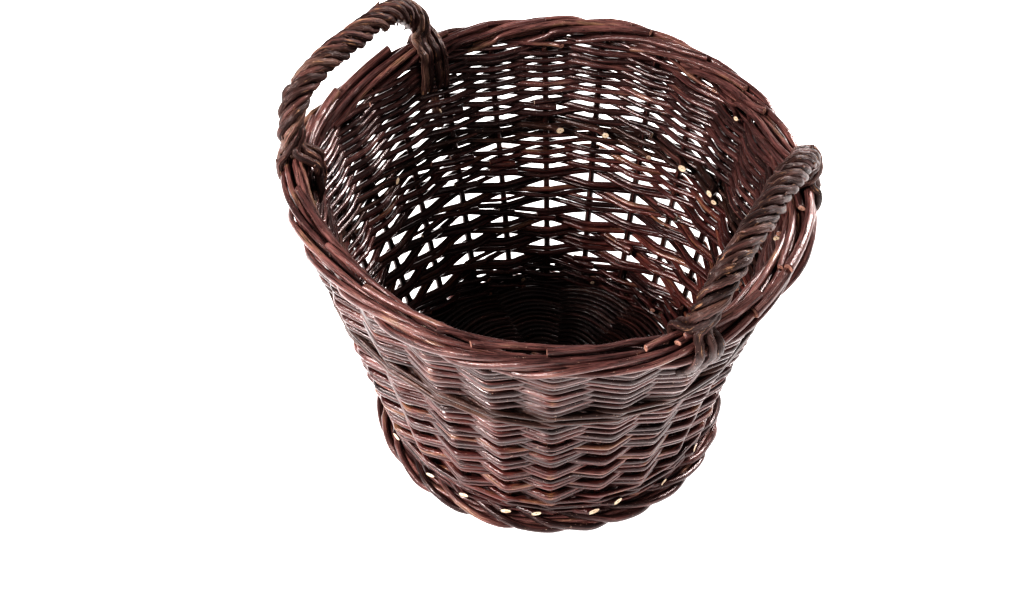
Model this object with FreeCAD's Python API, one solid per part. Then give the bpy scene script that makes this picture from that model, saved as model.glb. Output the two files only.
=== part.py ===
import FreeCAD, Part
import math
import os

# Round wicker basket with two roped handles, in millimetres.
# The origin is the centre of the circle that the foot rests on, +Z is up, and the handles
# stand over +X and -X.

# Driving dimensions: the round plan
STAKE_COUNT = 24
SPOKE_COUNT = STAKE_COUNT // 2
FOOT_OUTER_RADIUS = 168.0
RIM_OUTER_RADIUS = 225.0
BORDER_WIDTH = 25.0

# Driving dimensions: heights above the floor
FOOT_TOP = 14.0
BASE_BOTTOM = 4.0
BASE_TOP = 18.0
UPSET_TOP = 42.0
LOWER_SIDING_TOP = 186.0
MID_WALE_TOP = 207.0
UPPER_SIDING_TOP = 280.0
BORDER_BOTTOM = 290.0
BORDER_TOP = 307.0

# Driving dimensions: rods
STAKE_RADIUS = 3.0
WEAVER_DIAMETER = 4.0
BASE_STICK_RADIUS = 4.5
BOW_RADIUS = 5.0
ROPE_RADIUS = 12.5
LASHING_RADIUS = 4.0

# Driving dimensions: the wall's line and the fits between pieces
STAKE_CIRCLE_BOTTOM_RADIUS = 153.0
STAKE_CIRCLE_TOP_RADIUS = 212.0
FLARE_SAG = 3.0
CLEARANCE = 0.2
GAP = 0.4
CORNER_ROUNDING = 4.0
BORDER_ROUNDING = 7.0

# Driving dimensions: handles
HANDLE_FOOT_ANGLE = 26.5
BOW_END_HEIGHT = 215.0
HANDLE_RIM_HEIGHT = 300.0
HANDLE_SHOULDER_HEIGHT = 353.0
HANDLE_CROWN_HEIGHT = 369.0
HANDLE_LEAN = 0.3
HANDLE_SHOULDER_INSET = 8.0
HANDLE_BENDS = [60.0, 55.0, 200.0, 55.0, 60.0]
LASHING_SPACING = 20.5
LASHING_INNER_END = 235.0
LASHING_OUTER_END = 262.0
LASHING_BEND = 20.0

# Worked-out dimensions
WALL_HALF_THICKNESS = STAKE_RADIUS + WEAVER_DIAMETER
BASE_RADIUS = STAKE_CIRCLE_BOTTOM_RADIUS - WALL_HALF_THICKNESS - GAP
FOOT_INNER_RADIUS = BASE_RADIUS + GAP
BORDER_INNER_RADIUS = RIM_OUTER_RADIUS - BORDER_WIDTH
STAKE_BOTTOM = FOOT_TOP - 8.0
STAKE_TOP = BORDER_BOTTOM + 10.0
STAKE_ANGLE_STEP = 360.0 / STAKE_COUNT
SPOKE_ANGLE_STEP = 360.0 / SPOKE_COUNT

Z_AXIS = FreeCAD.Vector(0, 0, 1)
CENTRE = FreeCAD.Vector(0, 0, 0)


def flare_circle():
    """Centre (radius, height) and radius of the large circle that the wall's line lies on."""
    run = STAKE_CIRCLE_TOP_RADIUS - STAKE_CIRCLE_BOTTOM_RADIUS
    rise = BORDER_BOTTOM - FOOT_TOP
    chord = math.hypot(run, rise)
    circle_radius = chord ** 2 / (8 * FLARE_SAG) + FLARE_SAG / 2
    to_centre = circle_radius - FLARE_SAG
    mid_radius = (STAKE_CIRCLE_TOP_RADIUS + STAKE_CIRCLE_BOTTOM_RADIUS) / 2
    mid_height = (BORDER_BOTTOM + FOOT_TOP) / 2
    centre_radius = mid_radius + to_centre * rise / chord
    centre_height = mid_height - to_centre * run / chord
    return centre_radius, centre_height, circle_radius


FLARE_CENTRE_RADIUS, FLARE_CENTRE_HEIGHT, FLARE_RADIUS = flare_circle()


def wall_radius(height, outwards=0.0):
    """Radius of the flared wall at a height, measured outwards from the stakes' centre line."""
    reach = FLARE_RADIUS - outwards
    return FLARE_CENTRE_RADIUS - math.sqrt(reach ** 2 - (height - FLARE_CENTRE_HEIGHT) ** 2)


def section_point(radius, height):
    return FreeCAD.Vector(radius, 0, height)


def polar_point(radius, angle, height):
    turn = math.radians(angle)
    return FreeCAD.Vector(radius * math.cos(turn), radius * math.sin(turn), height)


def revolved(edges):
    """A full ring from the edges of its section, drawn in the XZ plane."""
    section = Part.Face(Part.Wire(edges))
    return section.revolve(CENTRE, Z_AXIS, 360)


def wall_band(bottom, top):
    """A ring of woven wall between two heights, following the flare on both faces."""
    middle = (bottom + top) / 2
    corners = {}
    for side in (-WALL_HALF_THICKNESS, WALL_HALF_THICKNESS):
        for height in (bottom, middle, top):
            corners[side, height] = section_point(wall_radius(height, side), height)
    inner, outer = -WALL_HALF_THICKNESS, WALL_HALF_THICKNESS
    floor_edge = Part.LineSegment(corners[inner, bottom], corners[outer, bottom])
    outer_edge = Part.Arc(corners[outer, bottom], corners[outer, middle], corners[outer, top])
    top_edge = Part.LineSegment(corners[outer, top], corners[inner, top])
    inner_edge = Part.Arc(corners[inner, top], corners[inner, middle], corners[inner, bottom])
    outline = (floor_edge, outer_edge, top_edge, inner_edge)
    return revolved([curve.toShape() for curve in outline])


def rounded_ring(inner, outer, bottom, top, rounding):
    """A ring of rectangular section whose four long edges are rounded."""
    block = Part.makeCylinder(outer, top - bottom, FreeCAD.Vector(0, 0, bottom))
    hole = Part.makeCylinder(inner, top - bottom, FreeCAD.Vector(0, 0, bottom))
    ring = block.cut(hole)
    round_edges = [edge for edge in ring.Edges if isinstance(edge.Curve, Part.Circle)]
    return ring.makeFillet(rounding, round_edges)


def stake_rod(number, bottom, top, radius):
    """One stake, or a channel for it: a round rod along the wall's flared line."""
    start = section_point(wall_radius(bottom), bottom)
    hub = section_point(FLARE_CENTRE_RADIUS, FLARE_CENTRE_HEIGHT)
    spoke = start.sub(hub)
    along = FreeCAD.Vector(spoke.z, 0, -spoke.x)
    end = section_point(wall_radius(top), top)
    sweep = math.degrees(spoke.getAngle(end.sub(hub)))
    face = Part.Face(Part.Wire(Part.makeCircle(radius, start, along)))
    rod = face.revolve(hub, FreeCAD.Vector(0, 1, 0), sweep)
    rod.rotate(CENTRE, Z_AXIS, number * STAKE_ANGLE_STEP)
    return rod


def stake_channels(bottom, top):
    return [stake_rod(number, bottom, top, STAKE_RADIUS + CLEARANCE) for number in range(STAKE_COUNT)]


def rounded_path(points, roundings):
    """Straight runs between points, joined by a tangent arc of the given radius at each corner."""
    edges = []
    start = points[0]
    for before, corner, after, rounding in zip(points, points[1:], points[2:], roundings):
        arriving = corner.sub(before).normalize()
        leaving = after.sub(corner).normalize()
        bend = arriving.getAngle(leaving)
        cut_back = rounding * math.tan(bend / 2)
        arc_start = corner - arriving * cut_back
        arc_end = corner + leaving * cut_back
        inwards = (leaving - arriving).normalize()
        arc_middle = corner + inwards * rounding * (1 / math.cos(bend / 2) - 1)
        edges.append(Part.LineSegment(start, arc_start).toShape())
        edges.append(Part.Arc(arc_start, arc_middle, arc_end).toShape())
        start = arc_end
    edges.append(Part.LineSegment(start, points[-1]).toShape())
    return Part.Wire(edges)


def tube(path, radius):
    """A round rod along a path of straight runs and tangent arcs."""
    first = path.Edges[0]
    start = first.valueAt(first.FirstParameter)
    direction = first.tangentAt(first.FirstParameter)
    ring = Part.Wire(Part.makeCircle(radius, start, direction))
    return path.makePipeShell([ring], True, False)


def mirrored_handle(shape, side):
    """The same shape over +X for side 1, or turned half a turn over -X for side -1."""
    turned = shape.copy()
    if side < 0:
        turned.rotate(CENTRE, Z_AXIS, 180)
    return turned


# Base: six sticks crossed three through three, opened out into twelve spokes, and woven round

SLATH_SPACING = 2 * BASE_STICK_RADIUS + 0.3
SPOKE_BEND_AT = SLATH_SPACING / math.tan(math.radians(SPOKE_ANGLE_STEP))
SPOKE_BEND_RADIUS = 25.0
SPOKE_END = BASE_RADIUS - 5.0
STICK_HEIGHT = (BASE_BOTTOM + BASE_TOP) / 2
SLIT_HALF_LENGTH = 17.0
TONGUE_THICKNESS = 4.0
WEAVE_INNER_RADIUS = 21.0
BASE_TURN = SPOKE_ANGLE_STEP / 4


def base_stick_path(offset_count, end_radius):
    """A stick's line: parallel to its neighbours at the cross, then opened out to a spoke."""
    spread = math.radians(offset_count * SPOKE_ANGLE_STEP)
    far_x = end_radius * math.cos(spread)
    far_y = end_radius * math.sin(spread)
    if offset_count == 0:
        ends = [FreeCAD.Vector(-far_x, 0, STICK_HEIGHT), FreeCAD.Vector(far_x, 0, STICK_HEIGHT)]
        return Part.Wire([Part.LineSegment(*ends).toShape()])
    near_y = offset_count * SLATH_SPACING
    points = [
        FreeCAD.Vector(-far_x, far_y, STICK_HEIGHT),
        FreeCAD.Vector(-SPOKE_BEND_AT, near_y, STICK_HEIGHT),
        FreeCAD.Vector(SPOKE_BEND_AT, near_y, STICK_HEIGHT),
        FreeCAD.Vector(far_x, far_y, STICK_HEIGHT),
    ]
    return rounded_path(points, [SPOKE_BEND_RADIUS, SPOKE_BEND_RADIUS])


def slab(half_length, thickness, height):
    """A wide flat block round the base's centre, for a slit or for shaving a stick."""
    width = 4 * SLATH_SPACING
    corner = FreeCAD.Vector(-half_length, -width / 2, height - thickness / 2)
    return Part.makeBox(2 * half_length, width, thickness, corner)


def split_stick(offset_count):
    """A stick along X with a slit at its middle that the crossing sticks pass through."""
    stick = tube(base_stick_path(offset_count, SPOKE_END), BASE_STICK_RADIUS)
    slit = slab(SLIT_HALF_LENGTH, TONGUE_THICKNESS + 2 * CLEARANCE, STICK_HEIGHT)
    return stick.cut(slit)


def through_stick(offset_count):
    """A stick shaved thin at its middle, then laid across the split ones."""
    stick = tube(base_stick_path(offset_count, SPOKE_END), BASE_STICK_RADIUS)
    shaving = BASE_STICK_RADIUS
    for direction in (-1, 1):
        middle = STICK_HEIGHT + direction * (TONGUE_THICKNESS + shaving) / 2
        stick = stick.cut(slab(SLIT_HALF_LENGTH, shaving, middle))
    stick.rotate(CENTRE, Z_AXIS, 90)
    return stick


def base_sticks():
    sticks = {}
    for offset_count in (-1, 0, 1):
        sticks["base_split_stick_%d" % (offset_count + 2)] = split_stick(offset_count)
        sticks["base_through_stick_%d" % (offset_count + 2)] = through_stick(offset_count)
    for stick in sticks.values():
        stick.rotate(CENTRE, Z_AXIS, BASE_TURN)
    return sticks


def base_weave():
    """The round mat woven between the spokes, with a channel for each stick."""
    thickness = BASE_TOP - BASE_BOTTOM
    disc = Part.makeCylinder(BASE_RADIUS, thickness, FreeCAD.Vector(0, 0, BASE_BOTTOM))
    eye = Part.makeCylinder(WEAVE_INNER_RADIUS, thickness, FreeCAD.Vector(0, 0, BASE_BOTTOM))
    channels = []
    for offset_count in (-1, 0, 1):
        path = base_stick_path(offset_count, SPOKE_END + CLEARANCE)
        for turn in (0, 90):
            channel = tube(path, BASE_STICK_RADIUS + CLEARANCE)
            channel.rotate(CENTRE, Z_AXIS, BASE_TURN + turn)
            channels.append(channel)
    return disc.cut([eye] + channels)


# Handles: a thick bow pushed down beside a stake at each foot, wrapped with a rope of rods

def bow_path():
    """The bow's centre line over +X, from one buried end to the other."""
    low = polar_point(wall_radius(BOW_END_HEIGHT), HANDLE_FOOT_ANGLE, BOW_END_HEIGHT)
    rim = polar_point(wall_radius(HANDLE_RIM_HEIGHT), HANDLE_FOOT_ANGLE, HANDLE_RIM_HEIGHT)
    shoulder_rise = HANDLE_SHOULDER_HEIGHT - HANDLE_RIM_HEIGHT
    shoulder = FreeCAD.Vector(
        rim.x + HANDLE_LEAN * shoulder_rise, rim.y - HANDLE_SHOULDER_INSET, HANDLE_SHOULDER_HEIGHT
    )
    crown_rise = HANDLE_CROWN_HEIGHT - HANDLE_RIM_HEIGHT
    crown = FreeCAD.Vector(rim.x + HANDLE_LEAN * crown_rise, 0, HANDLE_CROWN_HEIGHT)
    half = [low, rim, shoulder]
    other_half = [FreeCAD.Vector(point.x, -point.y, point.z) for point in reversed(half)]
    return rounded_path(half + [crown] + other_half, HANDLE_BENDS)


def bow():
    return tube(bow_path(), BOW_RADIUS)


def bow_channels():
    """Room for both handles' buried ends in the wall and the border."""
    channel = tube(bow_path(), BOW_RADIUS + CLEARANCE)
    return [mirrored_handle(channel, side) for side in (1, -1)]


def rope_wrap():
    """The rope of twisted rods round the bow, as one hollow tube that stands on the border."""
    path = bow_path()
    wrap = tube(path, ROPE_RADIUS).cut(tube(path, BOW_RADIUS + CLEARANCE))
    size = 3 * RIM_OUTER_RADIUS
    below = Part.makeBox(size, size, BORDER_TOP + GAP, FreeCAD.Vector(-size / 2, -size / 2, 0))
    return wrap.cut(below)


def lashing_strand(angle):
    """One rope end that comes over the border and lies against the wall on both sides."""
    outside = LASHING_RADIUS + GAP
    inner_end = wall_radius(LASHING_INNER_END, -WALL_HALF_THICKNESS) - outside
    outer_end = wall_radius(LASHING_OUTER_END, WALL_HALF_THICKNESS) + outside
    inner_side = BORDER_INNER_RADIUS - outside
    outer_side = RIM_OUTER_RADIUS + outside
    over = BORDER_TOP + outside
    corner = BORDER_ROUNDING + outside
    points = [
        polar_point(inner_end, angle, LASHING_INNER_END),
        polar_point(inner_side, angle, BORDER_BOTTOM),
        polar_point(inner_side, angle, over),
        polar_point(outer_side, angle, over),
        polar_point(outer_side, angle, BORDER_BOTTOM),
        polar_point(outer_end, angle, LASHING_OUTER_END),
    ]
    return tube(rounded_path(points, [LASHING_BEND, corner, corner, LASHING_BEND]), LASHING_RADIUS)


def lashing(foot_side):
    """The two rope ends beside one foot of a handle."""
    spread = math.degrees(LASHING_SPACING / STAKE_CIRCLE_TOP_RADIUS)
    angles = [foot_side * (HANDLE_FOOT_ANGLE + turn) for turn in (-spread, spread)]
    return Part.Compound([lashing_strand(angle) for angle in angles])


def handle_nodes():
    nodes = {}
    for name, side in (("right_handle", 1), ("left_handle", -1)):
        nodes[name + "_bow"] = mirrored_handle(bow(), side)
        nodes[name + "_rope"] = mirrored_handle(rope_wrap(), side)
        for foot, foot_side in (("front", -side), ("back", side)):
            nodes["%s_%s_lashing" % (name, foot)] = mirrored_handle(lashing(foot_side), side)
    return nodes


# Wall: stakes, and the bands of weaving round them

def stakes():
    nodes = {}
    for number in range(STAKE_COUNT):
        nodes["stake_%02d" % (number + 1)] = stake_rod(number, STAKE_BOTTOM, STAKE_TOP, STAKE_RADIUS)
    return nodes


def wall_nodes():
    """The five bands of weaving, with channels for the stakes and for the handles' ends."""
    bands = {
        "upset_wale": (FOOT_TOP, UPSET_TOP),
        "lower_siding": (UPSET_TOP, LOWER_SIDING_TOP),
        "mid_wale": (LOWER_SIDING_TOP, MID_WALE_TOP),
        "upper_siding": (MID_WALE_TOP, UPPER_SIDING_TOP),
        "top_wale": (UPPER_SIDING_TOP, BORDER_BOTTOM),
    }
    nodes = {}
    for name, (bottom, top) in bands.items():
        channels = stake_channels(bottom - 1.0, top + 1.0)
        if top > BOW_END_HEIGHT:
            channels += bow_channels()
        nodes[name] = wall_band(bottom, top).cut(channels)
    return nodes


def foot_border():
    """The bottom border, with a flat worn underside and a socket for each stake."""
    ring = rounded_ring(FOOT_INNER_RADIUS, FOOT_OUTER_RADIUS, 0.0, FOOT_TOP, CORNER_ROUNDING)
    return ring.cut(stake_channels(STAKE_BOTTOM - CLEARANCE, FOOT_TOP + 1.0))


def border():
    """The top border that the stakes' ends are woven into, pierced by the handles' bows."""
    ring = rounded_ring(
        BORDER_INNER_RADIUS, RIM_OUTER_RADIUS, BORDER_BOTTOM, BORDER_TOP, BORDER_ROUNDING
    )
    sockets = stake_channels(BORDER_BOTTOM - 1.0, STAKE_TOP + CLEARANCE)
    return ring.cut(sockets + bow_channels())


def build():
    nodes = {}
    nodes.update(base_sticks())
    nodes["base_weave"] = base_weave()
    nodes["foot_border"] = foot_border()
    nodes.update(stakes())
    nodes.update(wall_nodes())
    nodes["border"] = border()
    nodes.update(handle_nodes())
    return nodes


os.makedirs("parts", exist_ok=True)
for node_name, node_shape in build().items():
    node_shape.exportStep("parts/%s.step" % node_name)
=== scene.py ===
import math

import bpy
import numpy as np
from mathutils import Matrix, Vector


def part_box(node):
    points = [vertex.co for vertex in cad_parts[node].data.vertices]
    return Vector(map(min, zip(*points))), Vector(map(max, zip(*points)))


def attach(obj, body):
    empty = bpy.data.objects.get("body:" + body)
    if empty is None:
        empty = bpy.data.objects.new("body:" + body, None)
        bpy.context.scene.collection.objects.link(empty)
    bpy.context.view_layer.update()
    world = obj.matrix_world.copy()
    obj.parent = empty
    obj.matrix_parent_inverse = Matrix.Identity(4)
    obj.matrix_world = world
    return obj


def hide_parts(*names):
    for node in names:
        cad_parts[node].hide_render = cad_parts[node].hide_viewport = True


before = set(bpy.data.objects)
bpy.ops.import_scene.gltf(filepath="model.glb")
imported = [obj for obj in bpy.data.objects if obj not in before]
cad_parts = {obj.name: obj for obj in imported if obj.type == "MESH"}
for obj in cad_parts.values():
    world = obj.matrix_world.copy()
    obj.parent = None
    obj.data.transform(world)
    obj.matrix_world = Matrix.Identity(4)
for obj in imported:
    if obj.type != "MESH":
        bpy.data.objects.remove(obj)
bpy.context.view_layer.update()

# A round willow basket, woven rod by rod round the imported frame, in metres.
# A place on the wall is a position in bays round the basket, counted from the stake over +X
# and rising counter-clockwise seen from above, a height, and an offset outwards from the
# stakes' centre line.

MM = 0.001
rng = np.random.default_rng(41)


# Sizes read from the frame

def top(node):
    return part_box(node)[1].z


def bottom(node):
    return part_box(node)[0].z


def reach(node):
    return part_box(node)[1].x


STAKES = sorted(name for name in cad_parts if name.startswith("stake_"))
BASE_STICKS = sorted(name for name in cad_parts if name.startswith("base_") and "stick" in name)
BAYS = len(STAKES)
BAY_ANGLE = 2 * math.pi / BAYS
SPOKES = 2 * len(BASE_STICKS)
SPOKE_ANGLE = 2 * math.pi / SPOKES
STAKE_LOW, STAKE_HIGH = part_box(STAKES[0])
STAKE_RADIUS = (STAKE_HIGH.y - STAKE_LOW.y) / 2
RIM_RADIUS = reach("border")
FOOT_RADIUS = reach("foot_border")
FOOT_TOP = top("foot_border")
BASE_HEIGHT = (bottom("base_weave") + top("base_weave")) / 2
BASE_RADIUS = reach("base_weave")
BASE_STICK_RADIUS = (top(BASE_STICKS[0]) - bottom(BASE_STICKS[0])) / 2

# Sizes of the weave itself

WALL_SAG = 3 * MM
BORDER_WIDTH = 25 * MM
SLEWED_TOP = 157 * MM
SLEWED_ROWS = 10
PLAIN_ROWS = 6
UPPER_ROWS = 17
UPSET_ROUNDS = 3
STAKE_ROD = 3.4 * MM
SLEWED_ROD = 3.05 * MM
THIRD_ROD = 2.0 * MM
PLAIN_ROD = 3.05 * MM
UPSET_ROD = 2.4 * MM
MID_WALE_ROD = 2.7 * MM
# The bays where each of the mid wale's three upper rods is renewed, with a butt that shows inside.
SHOWN_BUTTS = ((5, 8, 17), (12, 21), (4, 7, 19))
TOP_WALE_ROD = 2.4 * MM
BORDER_ROD = 2.95 * MM
UNDER_BORDER_ROD = 2.9 * MM
BORDER_CORE_ROD = 2.5 * MM
FOOT_ROD = 3.3 * MM
FOOT_CORE_ROD = 2.6 * MM
STRAND_ROD = 3.8 * MM
BASE_ROD = 2.6 * MM
BOW_RADIUS = 5 * MM
ROPE_STRANDS = 6
ROPE_PITCH = 64 * MM
HANDLE_SAG = 3 * MM
# For the handles over +X (1) and -X (-1): lean outwards for each unit of height, and turn round the basket.
HANDLE_LEANS = {1: 0.12, -1: 0.18}
HANDLE_TURNS = {1: math.radians(-5.0), -1: 0.0}
# Where the round wall is out of true: angle, width, size, and the heights it grows between.
BULGES = (
    (math.radians(-31), math.radians(31), 12.5 * MM, 0.10, 0.30),
    (math.radians(-155), math.radians(30), 8 * MM, -0.05, 0.12),
    (math.radians(-122), math.radians(20), -9 * MM, 0.22, 0.31),
    (math.radians(52), math.radians(28), -12 * MM, 0.10, 0.31),
)
# The rim dips by RIM_TILT at LOWEST_ANGLE and rises as much opposite. RIM_SINK, a share of the
# tilt, lowers all of it. The wall is fully uneven from SETTLED_ABOVE_FOOT up.
RIM_TILT = 6.5 * MM
RIM_SINK = 0.27
LOWEST_ANGLE = math.radians(-80)
SETTLED_ABOVE_FOOT = 50 * MM


# Small helpers

def smooth(share):
    share = np.clip(share, 0, 1)
    return share * share * (3 - 2 * share)


def polar(radius, angle, height):
    radius, angle, height = np.broadcast_arrays(radius, angle, height)
    return np.stack([radius * np.cos(angle), radius * np.sin(angle), height], axis=-1)


def wall_radius(height):
    """Radius of the stakes' centre line at a height, on the frame's flare."""
    low = STAKE_LOW.x + STAKE_RADIUS
    high = STAKE_HIGH.x - STAKE_RADIUS
    share = (height - STAKE_LOW.z) / (STAKE_HIGH.z - STAKE_LOW.z)
    return low + (high - low) * share - 4 * WALL_SAG * share * (1 - share)


def spline(points, step):
    """A smooth line through the points, as points about one step apart."""
    points = np.asarray(points, float)
    before = np.vstack([2 * points[0] - points[1], points[:-1]])
    after = np.vstack([points[1:], 2 * points[-1] - points[-2]])
    slopes = (after - before) / 2
    line = []
    for start, end, leave, arrive in zip(points, points[1:], slopes, slopes[1:]):
        count = max(2, round(np.linalg.norm(end - start) / step))
        share = (np.arange(count) / count)[:, None]
        square, cube = share ** 2, share ** 3
        line.append(
            (2 * cube - 3 * square + 1) * start + (cube - 2 * square + share) * leave
            + (3 * square - 2 * cube) * end + (cube - square) * arrive
        )
    return np.vstack(line + [points[-1:]])


# The unevenness of hand work

class Sway:
    """A smooth seeded deviation round the basket, changing slowly with height."""

    def __init__(self, size, turns):
        self.turns = np.array(turns)
        self.phases = rng.uniform(0, 2 * math.pi, len(turns))
        self.climbs = rng.uniform(-9, 9, len(turns))
        self.size = size / math.sqrt(len(turns))

    def __call__(self, angle, height):
        waves = np.outer(angle, self.turns) + self.phases + np.outer(height, self.climbs)
        return self.size * np.sin(waves).sum(axis=1)


RADIAL_SWAY = Sway(1.6 * MM, (2, 3, 5, 8))
HEIGHT_SWAY = Sway(1.3 * MM, (1, 2, 4, 7))
STAKE_TURNS = rng.normal(0, math.radians(0.55), BAYS)
STAKE_LEANS = rng.normal(0, math.radians(0.45), BAYS)


def settled(points):
    """Design points as they come out by hand: pushed about a little, less towards the foot."""
    x, y, height = points.T
    angle = np.arctan2(y, x)
    radius = np.hypot(x, y)
    share = smooth((height - FOOT_TOP) / SETTLED_ABOVE_FOOT)
    stake = (angle / BAY_ANGLE) % BAYS
    numbers = np.arange(BAYS + 1)
    turn = np.interp(stake, numbers, np.append(STAKE_TURNS, STAKE_TURNS[0]))
    lean = np.interp(stake, numbers, np.append(STAKE_LEANS, STAKE_LEANS[0]))
    lean = lean * (height / STAKE_HIGH.z - 0.5) * 2
    bulge = 0
    for place, width, size, low, high in BULGES:
        away = (angle - place + math.pi) % (2 * math.pi) - math.pi
        bulge = bulge + size * np.exp(-((away / width) ** 2)) * smooth((height - low) / (high - low))
    new_radius = radius + share * RADIAL_SWAY(angle, height) + bulge
    tilt = RIM_TILT * (RIM_SINK + np.cos(angle - LOWEST_ANGLE)) * (height / STAKE_HIGH.z) ** 2
    new_height = height + share * HEIGHT_SWAY(angle, height) - share * tilt
    return polar(new_radius, angle + share * (turn + lean), new_height)


# Rods as meshes

def rod_frames(path):
    """Unit tangents along a path, and two unit directions across it that don't twist."""
    tangents = np.gradient(path, axis=0)
    tangents /= np.linalg.norm(tangents, axis=1)[:, None]
    outwards = path[0] * (1, 1, 0)
    across = outwards - tangents[0] * outwards.dot(tangents[0])
    if np.linalg.norm(across) < 0.2 * np.linalg.norm(outwards):
        across = np.cross(tangents[0], (0, 0, 1))
    normals = np.empty_like(path)
    for number, tangent in enumerate(tangents):
        across = across - tangent * across.dot(tangent)
        across = across / math.sqrt(across.dot(across))
        normals[number] = across
    return tangents, normals, np.cross(tangents, normals)


# A rod's cut face: its width, and how far it stands past the bark, as shares of the rod's radius.
CUT_FACE_SHARE = 0.86
CUT_FACE_RISE = 0.16


class Bundle:
    """Rods gathered into one mesh, with the grain's coordinates and a tint for each rod."""

    def __init__(self):
        self.points, self.grains, self.tints = [], [], []
        self.quads, self.triangles = [], []
        self.quad_slots, self.triangle_slots = [], []
        self.count = 0

    def add_points(self, points, grains, tint):
        first = self.count
        self.points.append(points)
        self.grains.append(grains)
        self.tints.append(np.broadcast_to(tint, len(points)).astype(float))
        self.count += len(points)
        return first

    def add_cap(self, ring, grains, tint, centre, centre_grain, forwards):
        """A flat cut end over a ring of points."""
        first = self.add_points(np.vstack([ring, centre]), np.vstack([grains, centre_grain]), tint)
        sides = len(ring)
        here = first + np.arange(sides)
        there = first + (np.arange(sides) + 1) % sides
        middle = np.full(sides, first + sides)
        order = (middle, here, there) if forwards else (middle, there, here)
        self.triangles.append(np.stack(order, axis=1))
        self.triangle_slots.append(np.ones(sides, int))

    def add_rod(self, path, radius, sides, slants=(0, 0), slant_turn=0.0, knots=45 * MM, tint=None):
        """A rod along a path. Slants are how far its two cut ends lean, as a slope."""
        path = settled(np.asarray(path, float))
        radius = np.broadcast_to(radius, len(path)).astype(float)
        tangents, normals, binormals = rod_frames(path)
        steps = np.linalg.norm(np.diff(path, axis=0), axis=1)
        along = np.concatenate([[0], np.cumsum(steps)])
        tint = np.broadcast_to(rng.uniform() if tint is None else tint, len(path))
        turns = np.arange(sides) * 2 * math.pi / sides
        ring_shape = radius_pattern(along, radius, turns, knots)
        cosines = np.cos(turns)[None, :, None]
        sines = np.sin(turns)[None, :, None]
        out = cosines * normals[:, None] + sines * binormals[:, None]
        rings = path[:, None] + ring_shape[:, :, None] * out
        for end in (0, -1):
            lean = np.cos(turns - slant_turn) * radius[end] * slants[end]
            rings[end] += tangents[end] * lean[:, None]
        start = rng.uniform(0, 8)
        grains = np.empty_like(rings)
        grains[:, :, 0] = ring_shape * np.cos(turns)
        grains[:, :, 1] = ring_shape * np.sin(turns)
        grains[:, :, 2] = along[:, None] + start
        first = self.add_points(rings.reshape(-1, 3), grains.reshape(-1, 3), np.repeat(tint, sides))
        self.add_skin(first, len(path), sides)
        for end, direction in ((0, -1), (-1, 1)):
            outwards = tangents[end] * direction
            self.add_end(rings[end], grains[end], outwards, radius[end], tint[end], direction)

    def add_skin(self, first, rings, sides):
        here = first + np.arange(rings * sides).reshape(rings, sides)
        beside = np.roll(here, -1, axis=1)
        quads = np.stack([here[:-1], beside[:-1], beside[1:], here[1:]], axis=-1).reshape(-1, 4)
        self.quads.append(quads)
        self.quad_slots.append(np.zeros(len(quads), int))

    def add_end(self, ring, grains, outwards, radius, tint, direction):
        """A narrow worn edge in bark, then the pale cut face."""
        middle = ring.mean(axis=0)
        centre = middle + outwards * radius * CUT_FACE_RISE
        edge = centre + (ring - middle) * CUT_FACE_SHARE
        edge_grains = grains * (CUT_FACE_SHARE, CUT_FACE_SHARE, 1)
        first = self.add_points(np.vstack([ring, edge]), np.vstack([grains, edge_grains]), tint)
        sides = len(ring)
        order = np.arange(2 * sides).reshape(2, sides)
        outer, inner = (order[0], order[1]) if direction > 0 else (order[1], order[0])
        quads = np.stack([outer, np.roll(outer, -1), np.roll(inner, -1), inner], axis=-1) + first
        self.quads.append(quads)
        self.quad_slots.append(np.zeros(sides, int))
        centre_grain = grains.mean(axis=0) * (0, 0, 1)
        self.add_cap(edge, edge_grains, tint, centre, centre_grain, direction > 0)

    def mesh(self, name):
        data = bpy.data.meshes.new(name)
        points = np.vstack(self.points)
        quads = np.vstack(self.quads)
        triangles = np.vstack(self.triangles)
        corners = np.concatenate([quads.ravel(), triangles.ravel()])
        starts = np.concatenate([
            np.arange(len(quads)) * 4, 4 * len(quads) + np.arange(len(triangles)) * 3
        ])
        slots = np.concatenate(self.quad_slots + self.triangle_slots)
        data.vertices.add(len(points))
        data.vertices.foreach_set("co", points.ravel().astype(np.float32))
        data.loops.add(len(corners))
        data.loops.foreach_set("vertex_index", corners.astype(np.int32))
        data.polygons.add(len(starts))
        data.polygons.foreach_set("loop_start", starts.astype(np.int32))
        data.polygons.foreach_set("material_index", slots.astype(np.int32))
        data.polygons.foreach_set("use_smooth", np.ones(len(starts), bool))
        grain = data.attributes.new("grain", "FLOAT_VECTOR", "POINT")
        grain.data.foreach_set("vector", np.vstack(self.grains).ravel().astype(np.float32))
        tint = data.attributes.new("tint", "FLOAT", "POINT")
        tint.data.foreach_set("value", np.concatenate(self.tints).astype(np.float32))
        data.update(calc_edges=True)
        data.validate()
        return data


def radius_pattern(along, radius, turns, knots):
    """A rod's radius at each ring and turn: slightly wavy and oval, with a bud scar now and then."""
    slow_waves = 0.035 * np.sin(along / (23 * MM) + rng.uniform(0, 6))
    quick_waves = 0.02 * np.sin(along / (9 * MM) + rng.uniform(0, 6))
    oval = 0.03 * np.cos(2 * turns + rng.uniform(0, 6))
    shape = 1 + (slow_waves + quick_waves)[:, None] + oval[None, :]
    places = np.arange(rng.uniform(0, knots), along[-1], knots)
    places = places + rng.normal(0, knots / 6, len(places))
    for number, place in enumerate(places):
        near = np.exp(-(((along - place) / (2.6 * MM)) ** 2))
        side = np.clip(np.cos(turns - number * 2.4), 0, 1) ** 2
        shape += near[:, None] * (0.05 + 0.2 * side[None, :])
    return radius[:, None] * shape


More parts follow.
